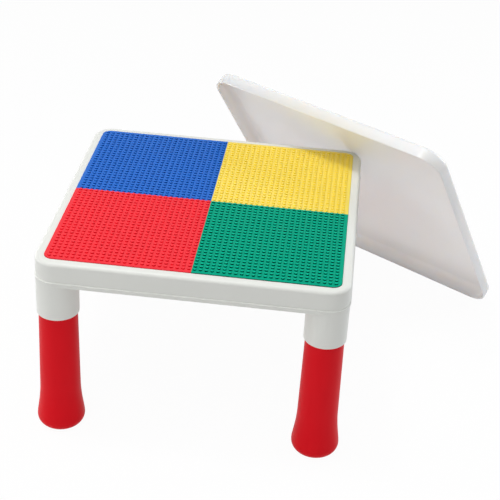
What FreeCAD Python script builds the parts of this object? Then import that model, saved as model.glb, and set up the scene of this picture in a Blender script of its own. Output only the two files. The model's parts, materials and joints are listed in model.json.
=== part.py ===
"""Low play table for small children, with a studded building top, plug-in legs and a lift-off lid.

Millimetres, +Z up. The origin is the middle of the table's footprint on the floor, +X to the
right and +Y to the back as seen by someone who sits in front of it. The lid is off the table: it
stands on the floor and leans against the table's rear right corner.
"""
import FreeCAD, Part
import os
import Sketcher

# Driving sizes: name, value and meaning. Angles are in degrees.
SIZES = [
    ("frame_width", 435, "outside width of the square upper frame"),
    ("corner_radius", 29.5, "corner of the upper frame, concentric with the leg below it"),
    ("apron_height", 30, "upper frame, from the seam to the rim"),
    ("rim_round", 5, "rounded outer edge of the rim"),
    ("frame_wall", 2.5, "skirt of the upper frame"),
    ("deck_thickness", 2.5, "floor of the recess that the plates lie in"),
    ("rib_thickness", 2, "ribs under the deck"),
    ("rib_depth", 8, "how far the ribs hang below the deck"),
    ("rib_pitch", 136, "distance between ribs"),
    ("ledge", 0.5, "how far the lower band stands out under the seam"),
    ("band_height", 7, "lower band, from its foot to the seam"),
    ("band_wall", 3, "outer wall of the lower band"),
    ("flange_thickness", 2.5, "flat web of the under frame"),
    ("flange_width", 58, "web, from the outside of the lower band to the central opening"),
    ("opening_corner", 20, "corner of the central opening"),
    ("lip_wall", 2.5, "stiffening lip round the central opening"),
    ("socket_length", 54.5, "leg socket, from its rim to the lower band"),
    ("edge_break", 0.8, "broken edge of the mouldings"),
    ("plate_side", 204, "side of one studded plate"),
    ("plate_thickness", 4, "plate, without its studs"),
    ("plate_skin", 2, "top skin of the plate"),
    ("plate_edge", 3, "edge wall and cross ribs under the plate"),
    ("plate_proud", 1, "how far the plates stand above the rim"),
    ("plate_corner", 13, "outer corner of a plate"),
    ("tab_width", 24, "snap tab under a plate, along its rib"),
    ("tab_thickness", 2, "snap tab, across the rib"),
    ("hook_reach", 1.2, "how far the tab's hook grips under the deck"),
    ("hook_height", 2, "height of that hook"),
    ("leg_height", 195.5, "leg, from the floor to the socket's rim"),
    ("leg_radius", 27.5, "leg at the socket's rim, and inside the socket"),
    ("waist_radius", 29.3, "leg at the foot of its slow taper"),
    ("waist_height", 64, "height of that point"),
    ("ankle_radius", 31.2, "leg where the foot spreads most"),
    ("ankle_height", 41, "height of that point"),
    ("instep_radius", 33.2, "foot where its spread eases again"),
    ("instep_height", 27, "height of that point"),
    ("foot_radius", 34.6, "widest part of the foot"),
    ("foot_height", 13, "height of the widest part"),
    ("foot_flat_radius", 24.5, "flat that stands on the floor"),
    ("leg_wall", 2.5, "wall of the hollow leg"),
    ("leg_floor", 4, "floor of the leg's hollow"),
    ("screw_radius", 2, "shank of the screws that join the two frames"),
    ("screw_head_radius", 5, "their hexagon head, to its corners"),
    ("screw_head_height", 3, "height of that head"),
    ("screw_length", 18, "length of the shank"),
    ("post_side", 10, "square post that takes a screw"),
    ("lid_wall", 2.5, "skirt of the lid"),
    ("lid_floor", 3.5, "flat of the lid"),
    ("lid_depth", 22.5, "lid, over the flat and the skirt"),
    ("lid_round", 7, "rounded outer edge of the lid"),
    ("lid_cove", 5, "bevelled corner inside the lid"),
    ("lid_lean", 34.5, "how far the lid leans from upright"),
    ("lid_turn", -33.5, "direction of the lid's lower edge, from +X"),
    ("lid_shift", 29, "middle of the lid, along that edge from the table's axis"),
    ("slide_gap", 0.3, "legs in their sockets"),
    ("panel_gap", 0.3, "plates in the recess, and their tabs in the deck"),
    ("shank_gap", 0.3, "screw shanks in their holes"),
    ("lid_gap", 1, "lid round the upper frame"),
    ("rest_gap", 0.3, "leaning lid and the corner that it leans on"),
]

doc = FreeCAD.newDocument("PlayTable")
sheet = doc.addObject("Spreadsheet::Sheet", "Sizes")
for row, (alias, size, meaning) in enumerate(SIZES, start=1):
    sheet.set(f"A{row}", meaning)
    sheet.set(f"B{row}", str(size))
    sheet.setAlias(f"B{row}", alias)
doc.recompute()

# Levels and widths that several pieces share, as formulas of the sheet.
LEG_AXIS = "(Sizes.frame_width / 2 - Sizes.corner_radius)"
BAND_FOOT = "(Sizes.leg_height + Sizes.socket_length)"
SEAM = f"({BAND_FOOT} + Sizes.band_height)"
RIM = f"({SEAM} + Sizes.apron_height)"
DECK_TOP = f"({RIM} + Sizes.plate_proud - Sizes.plate_thickness)"
DECK_FOOT = f"({DECK_TOP} - Sizes.deck_thickness)"
FLANGE_FOOT = f"({SEAM} - Sizes.flange_thickness)"
BAND_WIDTH = "(Sizes.frame_width + 2 * Sizes.ledge)"
BAND_CORNER = "(Sizes.corner_radius + Sizes.ledge)"
OPENING_WIDTH = f"({BAND_WIDTH} - 2 * Sizes.flange_width)"
RECESS_WIDTH = "(2 * Sizes.plate_side + 2 * Sizes.panel_gap)"
PLATE_MIDDLE = "(Sizes.plate_side / 2)"
TAB_PLACES = ("(Sizes.plate_side / 4)", "(Sizes.plate_side * 3 / 4)")
SCREW_HOLE = "(Sizes.screw_radius + Sizes.shank_gap)"
SOCKET_BORE = "(Sizes.leg_radius + Sizes.slide_gap)"
LEVEL_TOLERANCE = 1e-4


def value(formula):
    """A formula of the sheet as a plain number."""
    return float(sheet.evalExpression(formula))


def new_body(label):
    """A piece of its own."""
    body = doc.addObject("PartDesign::Body", label)
    body.Label = label
    return body


def origin_part(body, role):
    """One of the body's own origin planes or axes."""
    return next(item for item in body.Origin.OriginFeatures if item.Role == role)


def new_sketch(body, name, lift="0", role="XY_Plane"):
    """A sketch on an origin plane, lifted along the plane's normal."""
    sketch = body.newObject("Sketcher::SketchObject", f"{body.Name}_{name}")
    sketch.AttachmentSupport = [(origin_part(body, role), "")]
    sketch.MapMode = "FlatFace"
    sketch.setExpression("AttachmentOffset.Base.z", lift)
    return sketch


def tie(sketch, *constraint):
    """A relation between parts of a sketch."""
    return sketch.addConstraint(Sketcher.Constraint(*constraint))


def bind(sketch, formula, *constraint):
    """A sketch dimension that follows a formula of the sheet."""
    number = tie(sketch, *constraint, value(formula))
    sketch.setExpression(f"Constraints[{number}]", formula)


def place_point(sketch, geometry, point, across, up):
    """Two dimensions that place a point of the sketch from its origin."""
    bind(sketch, across, "DistanceX", -1, 1, geometry, point)
    bind(sketch, up, "DistanceY", -1, 1, geometry, point)


def line(sketch, start, end):
    """A straight edge of the sketch."""
    return sketch.addGeometry(Part.LineSegment(FreeCAD.Vector(*start, 0), FreeCAD.Vector(*end, 0)))


def taper(sketch, start, end):
    """An edge of the sketch with a slight slant, as a spline with a pole at each end."""
    curve = Part.BSplineCurve()
    curve.buildFromPoles([FreeCAD.Vector(*spot, 0) for spot in (start, end)], False, 1)
    return sketch.addGeometry(curve)


def arc(sketch, start, middle, end):
    """A round edge of the sketch through three points, given anticlockwise."""
    return sketch.addGeometry(Part.Arc(*(FreeCAD.Vector(*spot, 0) for spot in (start, middle, end))))


def circle(sketch, radius, across, up):
    """A circle with its radius and centre bound to the sheet."""
    centre = FreeCAD.Vector(value(across), value(up), 0)
    number = sketch.addGeometry(Part.Circle(centre, FreeCAD.Vector(0, 0, 1), value(radius)))
    bind(sketch, radius, "Radius", number)
    place_point(sketch, number, 3, across, up)


def path(sketch, corners, closed=True, tapers=()):
    """Edges from corner to corner, each corner bound to the sheet, and the numbered ones tapers."""
    spots = [(value(across), value(up)) for across, up in corners]
    ends = spots[1:] + spots[:1] if closed else spots[1:]
    pairs = enumerate(zip(spots, ends))
    edges = [(taper if number in tapers else line)(sketch, *pair) for number, pair in pairs]
    following = edges[1:] + edges[:1] if closed else edges[1:]
    for edge, after in zip(edges, following):
        tie(sketch, "Coincident", edge, 2, after, 1)
    for edge, corner in zip(edges, corners):
        place_point(sketch, edge, 1, *corner)
    if not closed:
        place_point(sketch, edges[-1], 2, *corners[-1])
    return edges


def rectangle(sketch, across, up):
    """A plain rectangle between two formulas each way."""
    (left, right), (low, high) = across, up
    path(sketch, ((left, low), (right, low), (right, high), (left, high)))


def rounded_square(sketch, width, radius):
    """A square round the origin with four equal round corners."""
    far = value(width) / 2
    near = far - value(radius)
    slant = near + value(radius) * 0.5 ** 0.5
    arcs, lines = [], []
    for x, y in ((1, 1), (-1, 1), (-1, -1), (1, -1)):
        ends = ((far * x, near * y), (near * x, far * y))
        start, end = ends if x == y else reversed(ends)
        arcs.append(arc(sketch, start, (slant * x, slant * y), end))
        lines.append(line(sketch, end, (-end[0], end[1]) if x == y else (end[0], -end[1])))
    for index, (corner, side) in enumerate(zip(arcs, lines)):
        tie(sketch, "Tangent", corner, 2, side, 1)
        tie(sketch, "Tangent", side, 2, arcs[(index + 1) % 4], 1)
        tie(sketch, "Vertical" if index % 2 else "Horizontal", side)
    for corner in arcs[1:]:
        tie(sketch, "Equal", arcs[0], corner)
    tie(sketch, "Equal", lines[0], lines[1])
    tie(sketch, "Symmetric", arcs[0], 3, arcs[2], 3, -1, 1)
    bind(sketch, radius, "Radius", arcs[0])
    bind(sketch, width, "DistanceX", lines[1], 1, lines[3], 1)


def extrude(body, kind, sketch, length, reverse=False):
    """A Pad, which rises from its sketch, or a Pocket, which sinks from it, unless reversed."""
    feature = body.newObject(f"PartDesign::{kind}", f"{sketch.Name}_{kind}")
    feature.Profile = sketch
    feature.Reversed = reverse
    feature.setExpression("Length", length)
    return feature


def quarter_turns(body, *features):
    """Four copies of features, spread evenly round the vertical axis."""
    doc.recompute()
    pattern = body.newObject("PartDesign::PolarPattern", f"{features[0].Name}_Turns")
    pattern.Originals = list(features)
    pattern.Axis = (origin_part(body, "Z_Axis"), [""])
    pattern.Angle = 360
    pattern.Occurrences = 4
    body.Tip = pattern


def dress_edges(body, kind, name, size, level):
    """Rounds or chamfers every edge of the body that lies at one level."""
    doc.recompute()
    base = body.Tip
    height = value(level)
    chosen = []
    for number, edge in enumerate(base.Shape.Edges, start=1):
        box = edge.BoundBox
        if max(abs(box.ZMin - height), abs(box.ZMax - height)) < LEVEL_TOLERANCE:
            chosen.append(f"Edge{number}")
    dressing = body.newObject(f"PartDesign::{kind}", f"{body.Name}_{name}")
    dressing.Base = (base, chosen)
    dressing.setExpression("Radius" if kind == "Fillet" else "Size", size)


def tabs(sketch, near, far, spare="0"):
    """Rectangles for a plate's two snap tabs, between two distances from its middle rib."""
    across = (f"({PLATE_MIDDLE} + {near})", f"({PLATE_MIDDLE} + {far})")
    for place in TAB_PLACES:
        along = tuple(f"({place} {sign} (Sizes.tab_width / 2 + {spare}))" for sign in "-+")
        rectangle(sketch, across, along)


def top_frame():
    """Upper moulding: rim, skirt, and a ribbed deck that the plates lie on."""
    body = new_body("top_frame")
    outline = new_sketch(body, "outline", SEAM)
    rounded_square(outline, "Sizes.frame_width", "Sizes.corner_radius")
    extrude(body, "Pad", outline, "Sizes.apron_height")
    dress_edges(body, "Fillet", "rim_round", "Sizes.rim_round", RIM)
    dress_edges(body, "Chamfer", "seam_edge", "Sizes.edge_break / 2", SEAM)

    recess = new_sketch(body, "recess", RIM)
    rounded_square(recess, RECESS_WIDTH, "(Sizes.plate_corner + Sizes.panel_gap)")
    extrude(body, "Pocket", recess, f"({RIM} - {DECK_TOP})")
    hollow = new_sketch(body, "hollow", SEAM)
    inside = "(Sizes.frame_width - 2 * Sizes.frame_wall)"
    rounded_square(hollow, inside, "(Sizes.corner_radius - Sizes.frame_wall)")
    extrude(body, "Pocket", hollow, f"({DECK_FOOT} - {SEAM})", reverse=True)

    # Three ribs each way run from skirt to skirt.
    half_rib = "Sizes.rib_thickness / 2"
    width = (f"(-Sizes.rib_pitch - {half_rib})", f"(-Sizes.rib_pitch + {half_rib})")
    span = (f"(-{inside} / 2)", f"({inside} / 2)")
    for name, axis, sides in (("ribs_x", "X_Axis", (width, span)), ("ribs_y", "Y_Axis", (span, width))):
        strip = new_sketch(body, name, f"({DECK_FOOT} - Sizes.rib_depth)")
        rectangle(strip, *sides)
        rib = extrude(body, "Pad", strip, "Sizes.rib_depth")
        doc.recompute()
        row = body.newObject("PartDesign::LinearPattern", f"{body.Name}_{name}_row")
        row.Originals = [rib]
        row.Direction = (origin_part(body, axis), [""])
        row.setExpression("Length", "2 * Sizes.rib_pitch")
        row.Occurrences = 3
        body.Tip = row

    # A post over each leg takes the screw from the under frame, and slots take the plates' tabs.
    posts = new_sketch(body, "posts", SEAM)
    sides = tuple(f"({LEG_AXIS} {sign} Sizes.post_side / 2)" for sign in "-+")
    rectangle(posts, sides, sides)
    circle(posts, SCREW_HOLE, LEG_AXIS, LEG_AXIS)
    quarter_turns(body, extrude(body, "Pad", posts, f"({DECK_FOOT} - {SEAM})"))
    slots = new_sketch(body, "slots", DECK_TOP)
    spare = "Sizes.panel_gap"
    reach = f"(Sizes.tab_thickness / 2 + Sizes.hook_reach + {spare})"
    tabs(slots, f"(-Sizes.tab_thickness / 2 - {spare})", reach, spare)
    quarter_turns(body, extrude(body, "Pocket", slots, "Sizes.deck_thickness"))
    return body


def under_frame():
    """Lower moulding: band below the seam, flat web, and a socket for each leg."""
    body = new_body("under_frame")
    band = new_sketch(body, "band", BAND_FOOT)
    rounded_square(band, BAND_WIDTH, BAND_CORNER)
    extrude(body, "Pad", band, "Sizes.band_height")
    dress_edges(body, "Chamfer", "ledge_edge", "Sizes.edge_break / 2", SEAM)
    dress_edges(body, "Chamfer", "foot_edge", "Sizes.edge_break", BAND_FOOT)

    hollow = new_sketch(body, "hollow", BAND_FOOT)
    rounded_square(hollow, f"({BAND_WIDTH} - 2 * Sizes.band_wall)", f"({BAND_CORNER} - Sizes.band_wall)")
    extrude(body, "Pocket", hollow, f"({FLANGE_FOOT} - {BAND_FOOT})", reverse=True)
    opening = new_sketch(body, "opening", SEAM)
    rounded_square(opening, OPENING_WIDTH, "Sizes.opening_corner")
    extrude(body, "Pocket", opening, "Sizes.flange_thickness")
    lip = new_sketch(body, "lip", BAND_FOOT)
    rounded_square(lip, OPENING_WIDTH, "Sizes.opening_corner")
    rounded_square(lip, f"({OPENING_WIDTH} + 2 * Sizes.lip_wall)", "(Sizes.opening_corner + Sizes.lip_wall)")
    extrude(body, "Pad", lip, f"({FLANGE_FOOT} - {BAND_FOOT})")

    # Each socket is a tube under the web, on the axis of the band's round corner.
    depth = f"({FLANGE_FOOT} - Sizes.leg_height)"
    cup = new_sketch(body, "cup", "Sizes.leg_height")
    circle(cup, BAND_CORNER, LEG_AXIS, LEG_AXIS)
    quarter_turns(body, extrude(body, "Pad", cup, depth))
    bore = new_sketch(body, "bore", "Sizes.leg_height")
    circle(bore, SOCKET_BORE, LEG_AXIS, LEG_AXIS)
    bores = extrude(body, "Pocket", bore, depth, reverse=True)
    hole = new_sketch(body, "screw_hole", SEAM)
    circle(hole, SCREW_HOLE, LEG_AXIS, LEG_AXIS)
    quarter_turns(body, bores, extrude(body, "Pocket", hole, "Sizes.flange_thickness"))
    return body


def plate(label, turn):
    """Building plate: a thin skin on edge walls and cross ribs, with two snap tabs."""
    body = new_body(label)
    outline = new_sketch(body, "outline")
    side, straight = "Sizes.plate_side", "(Sizes.plate_side - Sizes.plate_corner)"
    corners = ((straight, side), ("0", side), ("0", "0"), (side, "0"), (side, straight))
    edges = path(outline, corners, closed=False)
    slant = value(straight) + value("Sizes.plate_corner") * 0.5 ** 0.5
    start, end = (value(side), value(straight)), (value(straight), value(side))
    corner = arc(outline, start, (slant, slant), end)
    tie(outline, "Tangent", edges[-1], 2, corner, 1)
    tie(outline, "Coincident", corner, 2, edges[0], 1)
    extrude(body, "Pad", outline, "Sizes.plate_thickness")

    # Four shallow fields under the skin leave an edge wall and a cross of ribs.
    fields = new_sketch(body, "fields")
    half_rib = "Sizes.plate_edge / 2"
    near = ("Sizes.plate_edge", f"({PLATE_MIDDLE} - {half_rib})")
    rim = "(Sizes.plate_side - Sizes.plate_edge - Sizes.plate_corner / 2)"
    far = (f"({PLATE_MIDDLE} + {half_rib})", rim)
    for across in (near, far):
        for up in (near, far):
            rectangle(fields, across, up)
    extrude(body, "Pocket", fields, "(Sizes.plate_thickness - Sizes.plate_skin)", reverse=True)

    # The tabs go through the deck, and their hooks grip its underside.
    drop = "(Sizes.deck_thickness + Sizes.hook_height)"
    half_tab = "Sizes.tab_thickness / 2"
    stems = new_sketch(body, "stems", f"(-{drop})")
    tabs(stems, f"(-{half_tab})", f"({half_tab})")
    extrude(body, "Pad", stems, drop)
    hooks = new_sketch(body, "hooks", f"(-{drop})")
    tabs(hooks, f"({half_tab})", f"({half_tab} + Sizes.hook_reach)")
    extrude(body, "Pad", hooks, "Sizes.hook_height")
    body.setExpression("Placement", f"placement(vector(0; 0; {DECK_TOP}); rotation({turn}; 0; 0))")
    return body


def leg(label, across, along):
    """Hollow leg: a plug for the socket, a shaft with a slow taper, a flared foot and a flat base."""
    body = new_body(label)
    profile = new_sketch(body, "profile", role="XZ_Plane")
    bore = "(Sizes.leg_radius - Sizes.leg_wall)"
    skin = [(f"Sizes.{part}_radius", f"Sizes.{part}_height")
            for part in ("foot", "instep", "ankle", "waist", "leg")]
    base = [("0", "0"), ("Sizes.foot_flat_radius", "0")]
    hollow = [("Sizes.leg_radius", FLANGE_FOOT), (bore, FLANGE_FOOT),
              (bore, "Sizes.leg_floor"), ("0", "Sizes.leg_floor")]
    first = len(base)
    path(profile, base + skin + hollow, tapers=range(first, first + len(skin) - 1))
    turned = body.newObject("PartDesign::Revolution", f"{body.Name}_turned")
    turned.Profile = profile
    turned.ReferenceAxis = (profile, ["V_Axis"])
    body.setExpression("Placement.Base.x", f"{across} * {LEG_AXIS}")
    body.setExpression("Placement.Base.y", f"{along} * {LEG_AXIS}")
    return body


def lid():
    """Lift-off cover: a shallow square tray that fits over the rim, here leaning on the table."""
    body = new_body("lid")
    clear = "(Sizes.lid_gap + Sizes.lid_wall)"
    width, corner = f"(Sizes.frame_width + 2 * {clear})", f"(Sizes.corner_radius + {clear})"
    outline = new_sketch(body, "outline")
    rounded_square(outline, width, corner)
    extrude(body, "Pad", outline, "Sizes.lid_depth")
    dress_edges(body, "Fillet", "outer_round", "Sizes.lid_round", "0")
    hollow = new_sketch(body, "hollow", "Sizes.lid_depth")
    rounded_square(hollow, f"({width} - 2 * Sizes.lid_wall)", f"({corner} - Sizes.lid_wall)")
    extrude(body, "Pocket", hollow, "(Sizes.lid_depth - Sizes.lid_floor)")
    dress_edges(body, "Chamfer", "cove", "Sizes.lid_cove", "Sizes.lid_floor")
    dress_edges(body, "Chamfer", "lip_edge", "Sizes.edge_break", "Sizes.lid_depth")

    # The lid stands on its lower edge, and the inside of its flat rests on the rim's round corner.
    lean, tilt = "cos(Sizes.lid_lean)", "sin(Sizes.lid_lean)"
    along_x, along_y = "cos(Sizes.lid_turn)", "sin(Sizes.lid_turn)"
    up = f"({width} / 2 * {lean} + (Sizes.lid_depth - Sizes.edge_break) * {tilt})"
    corner_out = f"({LEG_AXIS} * ({along_x} - {along_y}) + Sizes.corner_radius - Sizes.rim_round)"
    corner_reach = f"({corner_out} * {lean} + ({RIM} - Sizes.rim_round) * {tilt} + Sizes.rim_round)"
    out = f"(({corner_reach} + Sizes.rest_gap + Sizes.lid_floor - {up} * {tilt}) / {lean})"
    place = (
        f"Sizes.lid_shift * {along_x} - {out} * {along_y}",
        f"Sizes.lid_shift * {along_y} + {out} * {along_x}",
        up,
    )
    turn = "rotation(Sizes.lid_turn; 0; 90 + Sizes.lid_lean)"
    body.setExpression("Placement", f"placement(vector({'; '.join(place)}); {turn})")
    return body


def frame_screws():
    """Four hexagon-headed screws, driven up from inside the leg sockets."""
    body = new_body("frame_screws")
    heads = new_sketch(body, "heads", f"({FLANGE_FOOT} - Sizes.screw_head_height)")
    corners = []
    for turn in range(0, 360, 60):
        across, up = (f"({LEG_AXIS} + Sizes.screw_head_radius * {part}({turn}))" for part in ("cos", "sin"))
        corners.append((across, up))
    path(heads, corners)
    shanks = new_sketch(body, "shanks", FLANGE_FOOT)
    circle(shanks, "Sizes.screw_radius", LEG_AXIS, LEG_AXIS)
    head = extrude(body, "Pad", heads, "Sizes.screw_head_height")
    quarter_turns(body, head, extrude(body, "Pad", shanks, "Sizes.screw_length"))
    return body


pieces = [top_frame(), under_frame(), frame_screws(), lid()]
for label, turn in (("plate_yellow", 0), ("plate_blue", 90), ("plate_red", 180), ("plate_green", 270)):
    pieces.append(plate(label, turn))
for end, along in (("front", -1), ("rear", 1)):
    for side, across in (("left", -1), ("right", 1)):
        pieces.append(leg(f"leg_{end}_{side}", across, along))

doc.recompute()
for item in doc.Objects:
    if {"Invalid", "Error"} & set(item.State):
        raise RuntimeError(f"{item.Name} did not build: {item.State}")
for piece in pieces:
    if piece.Shape.isNull() or not piece.Shape.isValid():
        raise RuntimeError(f"{piece.Label} has no valid shape")

os.makedirs("parts", exist_ok=True)
for piece in pieces:
    piece.Shape.exportStep(f"parts/{piece.Label}.step")
    print(f"{piece.Label}: {len(piece.Shape.Solids)} solids, {piece.Shape.Volume / 1000:.1f} cm3")
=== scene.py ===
# %% [markdown]
# # A low play table, dressed for its photograph
# The solids of this table come from CAD. This lesson loads them, adds what the solids leave plain
# (two and a half thousand studs, softly turned legs, a smooth lid and the bead along the seam), and
# then gives every piece its finish, its light and a camera. All sizes are in metres, in the frame of
# the CAD model: +Z is up, +X is to the right and the front of the table looks along -Y.

# %% Load the model
import bmesh
import bpy
import json
import math
from mathutils import Matrix, Vector


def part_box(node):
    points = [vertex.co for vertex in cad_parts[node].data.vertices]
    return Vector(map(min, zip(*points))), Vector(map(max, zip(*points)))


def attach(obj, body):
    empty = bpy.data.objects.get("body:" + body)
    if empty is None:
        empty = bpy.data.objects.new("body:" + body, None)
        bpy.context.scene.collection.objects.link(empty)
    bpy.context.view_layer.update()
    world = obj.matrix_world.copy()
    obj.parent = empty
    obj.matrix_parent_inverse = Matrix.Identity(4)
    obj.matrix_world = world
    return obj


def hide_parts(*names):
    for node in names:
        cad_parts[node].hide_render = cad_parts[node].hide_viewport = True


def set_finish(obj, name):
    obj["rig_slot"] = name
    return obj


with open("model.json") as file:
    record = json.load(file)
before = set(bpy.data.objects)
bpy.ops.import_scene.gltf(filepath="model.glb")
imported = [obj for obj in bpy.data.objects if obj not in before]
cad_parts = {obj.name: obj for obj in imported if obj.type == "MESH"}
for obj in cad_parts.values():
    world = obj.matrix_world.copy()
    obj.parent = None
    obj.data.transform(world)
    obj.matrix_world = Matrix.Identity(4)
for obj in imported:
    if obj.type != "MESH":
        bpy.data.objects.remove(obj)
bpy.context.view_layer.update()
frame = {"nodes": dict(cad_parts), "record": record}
nodes = frame["nodes"]
scene = bpy.context.scene
scene.view_settings.view_transform = "Standard"
MM = 0.001
print("nodes:", ", ".join(sorted(nodes)))

# %% [markdown]
# ## The camera
# The photograph looks down on the table from the front, a little from the right, through a longish
# lens and with a slight roll. A camera could be placed with the twelve numbers of a matrix, but a
# chain of moves about a point inside the table is easier to read: turn, rise, roll, and a step
# back. Each value in the chain can then be changed alone.

# %% Camera
AIM = Vector((0, 0, 0.2))
TURN, RISE, ROLL = (math.radians(angle) for angle in (4.471, 30.848, 3.461))
STEP_BACK = Vector((0.06215, 0.00259, 1.8962))
# Blender takes the lens and the sensor in millimetres.
FOCAL_LENGTH = 89.686
SENSOR_WIDTH = 36

lens = bpy.data.cameras.new("photo_camera")
lens.lens = FOCAL_LENGTH
lens.sensor_width = SENSOR_WIDTH
camera = bpy.data.objects.new("photo_camera", lens)
scene.collection.objects.link(camera)
swing = Matrix.Rotation(TURN, 4, "Z") @ Matrix.Rotation(math.pi / 2 - RISE, 4, "X")
swing = swing @ Matrix.Rotation(ROLL, 4, "Z")
camera.matrix_world = Matrix.Translation(AIM) @ swing @ Matrix.Translation(STEP_BACK)
scene.camera = camera
print("camera stands at", [round(side, 3) for side in camera.matrix_world.translation])

# %% [markdown]
# ## From a bmesh to a piece
# Every new piece is shaped in a bmesh, which is Blender's mesh for editing in a script. The helper
# below writes it into an object, shades the soft edges smooth and keeps the hard ones sharp, names
# the finish that it takes, and lets it ride on the body of the CAD model that carries it. An object
# could also be moved to its place, but here the places are already in the mesh, so that the object
# itself stays at the origin, as the CAD nodes do.

# %% Finish a piece
SHARP_EDGE = math.radians(38)
pieces = {}


def finish_piece(name, shape, body, slot, replaced=()):
    """Writes a bmesh into an object that rides on a body, and that may stand for CAD nodes."""
    bmesh.ops.recalc_face_normals(shape, faces=shape.faces)
    mesh = bpy.data.meshes.new(name)
    shape.to_mesh(mesh)
    shape.free()
    mesh.shade_smooth()
    mesh.set_sharp_from_angle(angle=SHARP_EDGE)
    piece = bpy.data.objects.new(name, mesh)
    scene.collection.objects.link(piece)
    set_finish(piece, slot)
    if replaced:
        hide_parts(*replaced)
    pieces[name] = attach(piece, body)
    print(f"{name}: {len(mesh.polygons)} faces")


print("edges of more than", round(math.degrees(SHARP_EDGE)), "degrees stay sharp")

# %% [markdown]
# ## The studs
# Each building plate carries 25 rows of 25 small studs. One stud is a short twelve-sided cylinder
# with a broken top edge: few faces, because it is repeated 625 times on every plate. It is copied
# along a row, and the row is copied along the plate. An array modifier could do the same, but the
# copies in the mesh need nothing else to be exported. The pitch and the radius stand in the packed
# record, with the point from which the rows are counted.

# %% Studs
field = next(mount for mount in frame["record"]["mounts"] if mount["name"] == "stud_field")
PITCH = field["dims"]["spacing_x_mm"] * MM
STUD_RADIUS = field["dims"]["stud_r_mm"] * MM
PLATE_TOP = field["pos_m"][2]
STUD_HEIGHT = 1.8 * MM
STUD_SINK = 0.2 * MM
STUD_BREAK = 0.3 * MM
BREAK_STEPS = 1
STUD_SIDES = 12
STUD_ROWS = 25
# The quarter of the table that each plate fills: right or left of the middle, behind or before it.
QUARTERS = {"yellow": (1, 1), "blue": (-1, 1), "red": (-1, -1), "green": (1, -1)}


def round_edges(shape, edges, size, steps):
    """Rounds edges of a bmesh with a circular profile."""
    bmesh.ops.bevel(
        shape, geom=edges, offset=size, segments=steps,
        affect="EDGES", profile=0.5, material=-1, clamp_overlap=False,
    )


def only(kind, parts):
    """The parts of one kind in what a bmesh operator gives back."""
    return [part for part in parts if isinstance(part, kind)]


def repeat(shape, step):
    """Copies all that a bmesh holds, one step further each time."""
    first = shape.verts[:] + shape.edges[:] + shape.faces[:]
    for number in range(1, STUD_ROWS):
        copied = bmesh.ops.duplicate(shape, geom=first)["geom"]
        bmesh.ops.translate(shape, verts=only(bmesh.types.BMVert, copied), vec=step * number)


peg_length = STUD_HEIGHT + STUD_SINK
for colour, (across, along) in QUARTERS.items():
    studs = bmesh.new()
    bmesh.ops.create_cone(
        studs, cap_ends=True, segments=STUD_SIDES,
        radius1=STUD_RADIUS, radius2=STUD_RADIUS, depth=peg_length,
    )
    top_edges = [edge for edge in studs.edges if min(end.co.z for end in edge.verts) > 0]
    round_edges(studs, top_edges, STUD_BREAK, BREAK_STEPS)
    peg_middle = PLATE_TOP + peg_length / 2 - STUD_SINK
    first_peg = Vector((across * PITCH / 2, along * PITCH / 2, peg_middle))
    bmesh.ops.translate(studs, verts=studs.verts, vec=first_peg)
    repeat(studs, Vector((across * PITCH, 0, 0)))
    repeat(studs, Vector((0, along * PITCH, 0)))
    finish_piece(f"studs_{colour}", studs, "table", f"{colour}_plate")

# %% [markdown]
# ## The legs
# A leg is a hollow red moulding: a plug in the socket, a shaft that widens slowly, and a foot that
# flares softly and ends in a round toe. Half of its section is drawn with the corners left sharp
# and spun round the leg's axis. The rings at the corners are then bevelled, which turns the section
# into arcs. That takes fewer points than a curve drawn by hand, and each arc keeps a size of its
# own.

# %% Legs
LEG_SIDES = 72
FOOT_RADIUS = 34.6 * MM
NECK_RADIUS = 27.5 * MM
BORE_RADIUS = 25 * MM
LEG_FLOOR = 4 * MM
NEAR = 0.01 * MM
socket_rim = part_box("under_frame")[0].z
# Three rings on the outside of the foot, each with its radius and its height.
SOLE = (FOOT_RADIUS, 0)
SPREAD = (FOOT_RADIUS, 16.6 * MM)
WAIST = (29.46 * MM, 52.6 * MM)
# How each ring is rounded: the size of the bevel and its steps.
LEG_ROUNDS = {SOLE: (14 * MM, 10), SPREAD: (2.4 * MM, 3), WAIST: (15 * MM, 8)}


def ring_edges(shape, axis, radius, height):
    """The edges of a bmesh that lie on a level circle round an upright axis."""
    def on_ring(end):
        reach = math.hypot(end.co.x - axis.x, end.co.y - axis.y)
        return abs(reach - radius) < NEAR and abs(end.co.z - height) < NEAR
    return [edge for edge in shape.edges if all(on_ring(end) for end in edge.verts)]


for name in sorted(node for node in nodes if node.startswith("leg_")):
    low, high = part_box(name)
    axis = (low + high) / 2
    section = (
        (0, 0), SOLE, SPREAD, WAIST, (NECK_RADIUS, socket_rim), (NECK_RADIUS, high.z),
        (BORE_RADIUS, high.z), (BORE_RADIUS, LEG_FLOOR), (0, LEG_FLOOR),
    )
    leg = bmesh.new()
    corners = [leg.verts.new((axis.x + radius, axis.y, height)) for radius, height in section]
    sides = [leg.edges.new(pair) for pair in zip(corners, corners[1:])]
    bmesh.ops.spin(
        leg, geom=corners + sides, cent=axis, axis=(0, 0, 1),
        angle=2 * math.pi, steps=LEG_SIDES, use_merge=True,
    )
    bmesh.ops.remove_doubles(leg, verts=leg.verts, dist=NEAR)
    for ring, (size, steps) in LEG_ROUNDS.items():
        round_edges(leg, ring_edges(leg, axis, *ring), size, steps)
    finish_piece(f"{name}_smooth", leg, name, "red_leg", [name])

# %% [markdown]
# ## The lid
# The lid is a shallow tray. It starts as one flat square, whose corners are bevelled round. The
# square is pulled up to a block, its top is inset by the thickness of the wall, and the middle is
# pushed down again to the floor of the tray. A boolean could cut the hollow too, but the inset
# leaves clean rings of edges. Bevels of three sizes turn these into the soft outer edge, the wide
# cove inside and the fine break on the lip. A narrow margin is inset in each of the two large
# faces: smooth shading bends across the margin only, and the middle stays flat.

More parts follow.
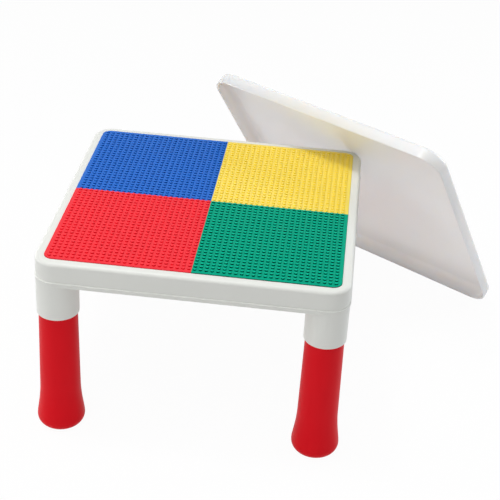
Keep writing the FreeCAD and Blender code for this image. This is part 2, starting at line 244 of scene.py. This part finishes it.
# %% Tray of the lid
LID_WIDTH = 442 * MM
LID_CORNER = 37 * MM
LID_DEPTH = 22.5 * MM
LID_WALL = 2.5 * MM
LID_FLOOR = 3.5 * MM
FLAT_MARGIN = 2 * MM
CORNER_STEPS = 16
# How each level of the tray is rounded: the size of the bevel and its steps.
LID_ROUNDS = {0: (7 * MM, 8), LID_FLOOR: (16 * MM, 10), LID_DEPTH: (0.8 * MM, BREAK_STEPS)}


def rounded_square(width, corner):
    """A bmesh that holds one flat square with round corners."""
    shape = bmesh.new()
    bmesh.ops.create_grid(shape, x_segments=1, y_segments=1, size=width / 2)
    bmesh.ops.bevel(
        shape, geom=shape.verts[:], offset=corner, segments=CORNER_STEPS,
        affect="VERTICES", profile=0.5, material=-1,
    )
    return shape


def pull_up(shape, height):
    """Makes a solid of the flat faces in a bmesh, and gives its upper faces."""
    pulled = bmesh.ops.extrude_face_region(shape, geom=shape.faces[:], use_keep_orig=True)["geom"]
    bmesh.ops.translate(shape, verts=only(bmesh.types.BMVert, pulled), vec=(0, 0, height))
    return only(bmesh.types.BMFace, pulled)


def level_edges(shape, height):
    """The edges of a bmesh that lie at one level."""
    def on_level(end):
        return abs(end.co.z - height) < NEAR
    return [edge for edge in shape.edges if all(on_level(end) for end in edge.verts)]


tray = rounded_square(LID_WIDTH, LID_CORNER)
mouth = pull_up(tray, LID_DEPTH)
bmesh.ops.inset_region(tray, faces=mouth, thickness=LID_WALL, use_even_offset=True)
pushed = bmesh.ops.extrude_face_region(tray, geom=mouth)["geom"]
bmesh.ops.delete(tray, geom=mouth, context="FACES_ONLY")
sunk = only(bmesh.types.BMVert, pushed)
bmesh.ops.translate(tray, verts=sunk, vec=(0, 0, LID_FLOOR - LID_DEPTH))
bmesh.ops.remove_doubles(tray, verts=tray.verts, dist=NEAR)
print("open edges in the tray:", sum(edge.is_boundary for edge in tray.edges))
for level, (size, steps) in LID_ROUNDS.items():
    round_edges(tray, level_edges(tray, level), size, steps)
largest = sorted(tray.faces, key=lambda face: face.calc_area())[-2:]
bmesh.ops.inset_individual(tray, faces=largest, thickness=FLAT_MARGIN)

# %% [markdown]
# ## Where the lid leans
# The lid stands on the floor on its lower edge and leans on the rear right corner of the table, with
# the hollow towards the camera. The tray still lies flat, so it is stood up and leaned about X, and
# then turned about Z. Its place could be worked out from the angles, but the CAD lid already stands
# right: the middle of the tray's box is simply moved to the middle of that lid's box.

# %% Lean the lid
LID_LEAN, LID_TURN = math.radians(34.5), math.radians(-33.5)

leaning = Matrix.Rotation(LID_TURN, 4, "Z") @ Matrix.Rotation(math.pi / 2 + LID_LEAN, 4, "X")
bmesh.ops.transform(tray, matrix=leaning, verts=tray.verts)
reach = [(min(ends), max(ends)) for ends in zip(*(corner.co for corner in tray.verts))]
tray_middle = Vector((low + high) / 2 for low, high in reach)
lid_low, lid_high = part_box("lid")
bmesh.ops.translate(tray, verts=tray.verts, vec=(lid_low + lid_high) / 2 - tray_middle)
finish_piece("lid_smooth", tray, "lid", "white_lid", ["lid"])

# %% [markdown]
# ## The seam
# The lower moulding stands out a little under the upper one, and its edge is a soft bead that catches
# the light all round the table. A curve with a round section could follow it, but the square of the
# lid is already at hand: with its middle taken out, it is pulled up to a ring. The outer edges of the
# ring are then bevelled round. Its size and its level come from the boxes of the two CAD frames.

# %% Seam bead
BEAD_OUT = 1 * MM
BEAD_WIDTH = 2.5 * MM
BEAD_HEIGHT = 3 * MM
BEAD_ROUND = 1.2 * MM
BEAD_STEPS = 3
BEAD_LIFT = 0.5 * MM
BAND_CORNER = 30 * MM
band_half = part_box("under_frame")[1].x
seam_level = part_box("top_frame")[0].z


def is_outside(end):
    """Whether a corner of the bead lies outside the lower moulding."""
    straight = band_half - BAND_CORNER
    past = [max(abs(side) - straight, 0) for side in (end.co.x, end.co.y)]
    return math.hypot(*past) > BAND_CORNER


bead = rounded_square(2 * (band_half + BEAD_OUT), BAND_CORNER + BEAD_OUT)
inner = bead.faces[:]
bmesh.ops.inset_region(
    bead, faces=inner, thickness=BEAD_WIDTH, use_even_offset=True, use_boundary=True,
)
bmesh.ops.delete(bead, geom=inner, context="FACES")
pull_up(bead, BEAD_HEIGHT)
print("open edges in the bead:", sum(edge.is_boundary for edge in bead.edges))
rims = level_edges(bead, 0) + level_edges(bead, BEAD_HEIGHT)
outer_rims = [edge for edge in rims if all(is_outside(end) for end in edge.verts)]
round_edges(bead, outer_rims, BEAD_ROUND, BEAD_STEPS)
bmesh.ops.translate(bead, verts=bead.verts, vec=(0, 0, seam_level + BEAD_LIFT - BEAD_HEIGHT))
finish_piece("seam_bead", bead, "table", "white_shell")

# %% [markdown]
# ## A tone that drifts
# Moulded plastic is never one flat colour: its tone drifts a little from place to place. A painted
# picture could show that, but a noise needs no picture and has no seams. It reads Object
# coordinates, which stay with a piece when it moves. The effect is a node group with named inputs,
# so that every material can take it with its own values.

# %% Node group for the tone
DRIFT_DETAIL = 3


def new_group(name, inputs, outputs):
    """A shader node group with named sockets, and its two end nodes."""
    group = bpy.data.node_groups.new(name, "ShaderNodeTree")
    for direction, sockets in (("INPUT", inputs), ("OUTPUT", outputs)):
        for title, kind in sockets.items():
            group.interface.new_socket(title, in_out=direction, socket_type=f"NodeSocket{kind}")
    return group, group.nodes.new("NodeGroupInput"), group.nodes.new("NodeGroupOutput")


def feed(tree, value, socket):
    """Gives a socket its value: a number is set, and another socket is linked."""
    if isinstance(value, (int, float)):
        socket.default_value = value
    else:
        tree.links.new(value, socket)


def noise_in(tree, scale, detail):
    """A noise texture on Object coordinates; its scale is a number or a socket."""
    place = tree.nodes.new("ShaderNodeTexCoord")
    noise = tree.nodes.new("ShaderNodeTexNoise")
    noise.inputs["Detail"].default_value = detail
    tree.links.new(place.outputs["Object"], noise.inputs["Vector"])
    feed(tree, scale, noise.inputs["Scale"])
    return noise.outputs["Fac"]


def spread_in(tree, source, middle, amount):
    """Spreads a noise about a middle value: middle plus (noise - 0.5) times the amount."""
    centred = tree.nodes.new("ShaderNodeMath")
    centred.operation = "SUBTRACT"
    centred.inputs[1].default_value = 0.5
    tree.links.new(source, centred.inputs[0])
    spread = tree.nodes.new("ShaderNodeMath")
    spread.operation = "MULTIPLY_ADD"
    tree.links.new(centred.outputs[0], spread.inputs[0])
    tree.links.new(amount, spread.inputs[1])
    feed(tree, middle, spread.inputs[2])
    return spread.outputs[0]


resin_tone, tone_in, tone_out = new_group(
    "resin_tone", {"Colour": "Color", "Drift": "Float", "Scale": "Float"}, {"Colour": "Color"},
)
drift = noise_in(resin_tone, tone_in.outputs["Scale"], DRIFT_DETAIL)
shade = resin_tone.nodes.new("ShaderNodeHueSaturation")
brightness = spread_in(resin_tone, drift, 1, tone_in.outputs["Drift"])
resin_tone.links.new(brightness, shade.inputs["Value"])
resin_tone.links.new(tone_in.outputs["Colour"], shade.inputs["Color"])
resin_tone.links.new(shade.outputs["Color"], tone_out.inputs["Colour"])
print("node group:", resin_tone.name)

# %% [markdown]
# ## A moulded skin
# The mould leaves a fine grain on the plastic, and patches that are a touch glossier than the rest.
# Both are too fine to model. This group puts out two values instead: a roughness that wanders about
# the one it is given, and a height, which a Bump node in the material turns into grain.

# %% Node group for the skin
PATCH_SCALE = 14
SKIN_DETAIL = 2

moulded_skin, skin_in, skin_out = new_group(
    "moulded_skin", {"Roughness": "Float", "Spread": "Float", "Grain": "Float"},
    {"Roughness": "Float", "Height": "Float"},
)
patches = noise_in(moulded_skin, PATCH_SCALE, SKIN_DETAIL)
patchy = spread_in(moulded_skin, patches, skin_in.outputs["Roughness"], skin_in.outputs["Spread"])
grain = noise_in(moulded_skin, skin_in.outputs["Grain"], SKIN_DETAIL)
moulded_skin.links.new(patchy, skin_out.inputs["Roughness"])
moulded_skin.links.new(grain, skin_out.inputs["Height"])
print("node group:", moulded_skin.name)

# %% [markdown]
# ## Painted light and shade on the plates
# On the building plates, all that faces up is painted paler, as if lit, while the sides of the studs
# take a tone of their own, a darker painted shade. The field between the studs gets a deeper painted
# shade than their tops. Painting that on 2,500 studs would be slow work, but the height of a point and
# the way that the surface faces tell all three apart, so the group reads these two.

# %% Node group for the painted light and shade
def map_range(tree, source, old, new):
    """Maps a value from an old range to a new one, whose ends are numbers or sockets."""
    mapped = tree.nodes.new("ShaderNodeMapRange")
    tree.links.new(source, mapped.inputs["Value"])
    for title, value in zip(("From Min", "From Max", "To Min", "To Max"), (*old, *new)):
        feed(tree, value, mapped.inputs[title])
    return mapped.outputs["Result"]


stud_wear, painted_in, painted_out = new_group(
    "stud_wear", {"Colour": "Color", "Field": "Float", "Side": "Float", "Purity": "Float"},
    {"Colour": "Color"},
)
spot = stud_wear.nodes.new("ShaderNodeTexCoord")
rise, facing = (stud_wear.nodes.new("ShaderNodeSeparateXYZ") for _ in range(2))
stud_wear.links.new(spot.outputs["Object"], rise.inputs[0])
stud_wear.links.new(spot.outputs["Normal"], facing.inputs[0])
up_stud = map_range(stud_wear, rise.outputs["Z"], (PLATE_TOP, PLATE_TOP + STUD_HEIGHT), (0, 1))
# Painted shade: the field between the studs is darker than the stud tops, by height.
level_tone = map_range(stud_wear, up_stud, (0, 1), (painted_in.outputs["Field"], 1))
# Painted shade: faces that look sideways, the sides of the studs, take the darker Side tone.
tone = map_range(stud_wear, facing.outputs["Z"], (0, 1), (painted_in.outputs["Side"], level_tone))
# Painted light: faces that look up lose some purity and look paler.
purity = map_range(stud_wear, facing.outputs["Z"], (0, 1), (1, painted_in.outputs["Purity"]))
painted_tone = stud_wear.nodes.new("ShaderNodeHueSaturation")
stud_wear.links.new(tone, painted_tone.inputs["Value"])
stud_wear.links.new(purity, painted_tone.inputs["Saturation"])
stud_wear.links.new(painted_in.outputs["Colour"], painted_tone.inputs["Color"])
stud_wear.links.new(painted_tone.outputs["Color"], painted_out.inputs["Colour"])
print("node group:", stud_wear.name)

# %% [markdown]
# ## The finishes
# The frames and the lid are satin white, the plates and their studs are a little glossier, and the
# legs are a soft satin red. Each could have nodes of its own, but they are the same kind of plastic,
# so one function makes them all from a colour and a few numbers. The colours are linear, so they
# look darker here as numbers than they do in the picture. The hidden screws take the same skin.

# %% Plastics
DRIFT = 0.05
DRIFT_SCALE = 9
GLOSS_SPREAD = 0.06
PLASTIC_GRAIN = 700
PLATED_GRAIN = 1500
GRAIN_DEPTH = 0.02 * MM
# Each finish: its colour, its roughness, the level of its shine, and a grain other than plastic's.
LOOKS = {
    "white_shell": ((0.80, 0.81, 0.77), 0.38, 0.4),
    "white_lid": ((0.815, 0.815, 0.815), 0.24, 0.6),
    "yellow_plate": ((0.99, 0.75, 0.008), 0.22, 0.3),
    "blue_plate": ((0, 0.15, 0.665), 0.28, 0.05),
    "red_plate": ((0.94, 0.001, 0.018), 0.26, 0.05),
    "green_plate": ((0, 0.45, 0.275), 0.30, 0.03),
    "red_leg": ((0.76, 0.003, 0.011), 0.45, 0.1),
    "screw_steel": ((0.55, 0.55, 0.57), 0.32, 0.5, PLATED_GRAIN),
}


def shader_of(material):
    """The Principled shader that a new material starts with."""
    return material.node_tree.nodes["Principled BSDF"]


def place_group(tree, group, values):
    """Places a node group in a material and sets its inputs."""
    placed = tree.nodes.new("ShaderNodeGroup")
    placed.node_tree = group
    for title, value in values.items():
        placed.inputs[title].default_value = value
    return placed


def plastic(name, colour, roughness, shine, grain=PLASTIC_GRAIN):
    """A moulded plastic with a drifting tone, patches of gloss and a fine grain."""
    material = bpy.data.materials.new(name)
    material.use_nodes = True
    tree = material.node_tree
    shader = shader_of(material)
    shader.inputs["Specular IOR Level"].default_value = shine
    resin = {"Colour": (*colour, 1), "Drift": DRIFT, "Scale": DRIFT_SCALE}
    tone = place_group(tree, resin_tone, resin)
    surface = {"Roughness": roughness, "Spread": GLOSS_SPREAD, "Grain": grain}
    skin = place_group(tree, moulded_skin, surface)
    bump = tree.nodes.new("ShaderNodeBump")
    bump.inputs["Strength"].default_value = 1
    bump.inputs["Distance"].default_value = GRAIN_DEPTH
    tree.links.new(tone.outputs["Colour"], shader.inputs["Base Color"])
    tree.links.new(skin.outputs["Roughness"], shader.inputs["Roughness"])
    tree.links.new(skin.outputs["Height"], bump.inputs["Height"])
    tree.links.new(bump.outputs["Normal"], shader.inputs["Normal"])
    return material


finishes = {name: plastic(name, *look) for name, look in LOOKS.items()}
print("finishes:", ", ".join(finishes))

# %% [markdown]
# ## Painted shade on the plates, thin lid, plated screws
# Three kinds of finish need something more. The painted light and shade goes between the tone and the
# shader of the four plates. The lid is thin enough for light to scatter inside it, furthest in red,
# which a brighter colour alone could not show. The screws are zinc plated, so they are metal.

# %% Painted light and shade, scattering and metal
# Each plate: the painted shade of the field, the painted shade of the studs' sides and the purity of
# what faces up, painted paler as if lit.
PAINTED_LIGHT_AND_SHADE = {
    "yellow_plate": (0.96, 1, 0.89),
    "blue_plate": (0.94, 0.5, 0.958),
    "red_plate": (0.94, 0.85, 0.953),
    "green_plate": (0.82, 0.05, 1),
}
LID_SCATTER = {
    "Subsurface Weight": 0.9,
    "Subsurface Radius": (1, 0.8, 0.65),
    "Subsurface Scale": 22 * MM,
}

# The painted light and shade goes into the colour of each plate.
for name, values in PAINTED_LIGHT_AND_SHADE.items():
    tree = finishes[name].node_tree
    base = shader_of(finishes[name]).inputs["Base Color"]
    painted_group = place_group(tree, stud_wear, dict(zip(("Field", "Side", "Purity"), values)))
    tree.links.new(base.links[0].from_socket, painted_group.inputs["Colour"])
    tree.links.new(painted_group.outputs["Colour"], base)
for title, value in LID_SCATTER.items():
    shader_of(finishes["white_lid"]).inputs[title].default_value = value
shader_of(finishes["screw_steel"]).inputs["Metallic"].default_value = 1
print("shade_painted_on:", ", ".join(PAINTED_LIGHT_AND_SHADE))

# %% [markdown]
# ## Finishes on the pieces
# Every piece of the table has a slot, which is the name of its finish. The CAD nodes have theirs in
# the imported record, and the new pieces were given theirs when they were made. Materials could be set
# one by one, but two loops over the names miss no piece.

# %% Give each piece its finish
slot_of = {part["node"]: part["material_slot"] for part in frame["record"]["subparts"]}
for name, node in nodes.items():
    for place in node.material_slots:
        place.material = finishes[slot_of[name]]
for piece in pieces.values():
    piece.data.materials.append(finishes[piece["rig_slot"]])
print("finished:", len(nodes), "nodes and", len(pieces), "new pieces")

# %% [markdown]
# ## The floor
# The photograph is taken on white, with no horizon. The floor is a plain pale sheet. A bright lamp
# could turn it white, but it would bleach the table too. Seen by the camera, or in a reflection, most
# of the sheet therefore shows as even white, and a small share still comes from the light on it, so
# that it keeps the shadow of the table.

# %% Floor
FLOOR_HALF = 4
FLOOR_GREY = 0.94
FLOOR_WHITE = 0.96


def white_where_seen(tree, lit, white, share):
    """Mixes a share of white into a lit shader, where the camera, a reflection or glass sees it."""
    path = tree.nodes.new("ShaderNodeLightPath")
    seen = path.outputs["Is Camera Ray"]
    for ray in ("Is Glossy Ray", "Is Transmission Ray"):
        both = tree.nodes.new("ShaderNodeMath")
        both.operation = "ADD"
        both.use_clamp = True
        tree.links.new(seen, both.inputs[0])
        tree.links.new(path.outputs[ray], both.inputs[1])
        seen = both.outputs[0]
    part = tree.nodes.new("ShaderNodeMath")
    part.operation = "MULTIPLY"
    part.inputs[1].default_value = share
    tree.links.new(seen, part.inputs[0])
    blend = tree.nodes.new("ShaderNodeMixShader")
    tree.links.new(part.outputs[0], blend.inputs["Fac"])
    tree.links.new(lit.outputs[0], blend.inputs[1])
    tree.links.new(white.outputs[0], blend.inputs[2])
    return blend.outputs[0]


sheet = bmesh.new()
bmesh.ops.create_grid(sheet, x_segments=1, y_segments=1, size=FLOOR_HALF)
floor_mesh = bpy.data.meshes.new("floor")
sheet.to_mesh(floor_mesh)
sheet.free()
floor = bpy.data.objects.new("floor", floor_mesh)
scene.collection.objects.link(floor)

paper = bpy.data.materials.new("white_floor")
paper.use_nodes = True
tree = paper.node_tree
tree.nodes.clear()
matte = tree.nodes.new("ShaderNodeBsdfDiffuse")
matte.inputs["Color"].default_value = (FLOOR_GREY, FLOOR_GREY, FLOOR_GREY, 1)
glow = tree.nodes.new("ShaderNodeEmission")
surface = tree.nodes.new("ShaderNodeOutputMaterial").inputs["Surface"]
tree.links.new(white_where_seen(tree, matte, glow, FLOOR_WHITE), surface)
floor_mesh.materials.append(paper)
print("floor reaches", FLOOR_HALF, "m each way")

# %% [markdown]
# ## The backdrop
# Above the floor there is only the world. A wall could stand behind the table, but it would show as
# a wall from other sides. The world does as the floor does, from all sides: it is white where it is
# seen, and it lights the object at a softer level.

# %% World
AMBIENT = 0.28
FULL = 1

world = bpy.data.worlds.new("white_studio")
scene.world = world
world.use_nodes = True
tree = world.node_tree
tree.nodes.clear()
soft, white = (tree.nodes.new("ShaderNodeBackground") for _ in range(2))
for sky, strength in ((soft, AMBIENT), (white, FULL)):
    sky.inputs["Color"].default_value = (1, 1, 1, 1)
    sky.inputs["Strength"].default_value = strength
surface = tree.nodes.new("ShaderNodeOutputWorld").inputs["Surface"]
tree.links.new(white_where_seen(tree, soft, white, FULL), surface)
print("ambient level", AMBIENT)

# %% [markdown]
# ## The lamps
# Soft boxes are area lamps: the larger they are, the softer the shadows. One sun lamp would be less
# work, but all its shadows would be hard. A small key hangs over the table and draws the edge of the
# lid's shadow on the yellow plate. Round it, a large top box lights the plates, the rim and the seam.
# A cool box on the right and two low ones on the left make the outer sides of the sockets and the
# legs brighter, and a weak box in front fills the rest.

# %% Lamps
TABLE_MIDDLE = (0, 0, 0.22)
LEG_MIDDLE = (0, 0, 0.14)
WHITE = (1, 1, 1)
COOL = (0.88, 0.94, 1)
# Each box: its place, what it looks at, its width and height in metres, its watts and its tint.
SOFT_BOXES = {
    "key_box": ((-0.4, -0.1, 2.2), TABLE_MIDDLE, 0.3, 0.3, 11, WHITE),
    "top_box": ((-0.35, -0.45, 2.2), TABLE_MIDDLE, 2.0, 2.0, 21, WHITE),
    "right_box": ((1.75, 1.0, 0.88), TABLE_MIDDLE, 1.2, 1.2, 13, COOL),
    "left_box": ((-1.8, -0.2, 0.25), TABLE_MIDDLE, 0.6, 0.4, 4.5, WHITE),
    "low_box": ((-1.4, 1.0, 0.14), LEG_MIDDLE, 0.8, 0.22, 3, WHITE),
    "front_box": ((-0.7, -2.2, 1.0), TABLE_MIDDLE, 1.4, 1.0, 5, WHITE),
}

for name, (place, aim, width, height, power, tint) in SOFT_BOXES.items():
    lamp = bpy.data.lights.new(name, "AREA")
    lamp.shape = "RECTANGLE"
    lamp.size = width
    lamp.size_y = height
    lamp.energy = power
    lamp.color = tint
    stand = bpy.data.objects.new(name, lamp)
    stand.location = place
    stand.rotation_euler = (Vector(aim) - Vector(place)).to_track_quat("-Z", "Y").to_euler()
    scene.collection.objects.link(stand)
    print(f"{name}: {power} W, {width} m by {height} m")
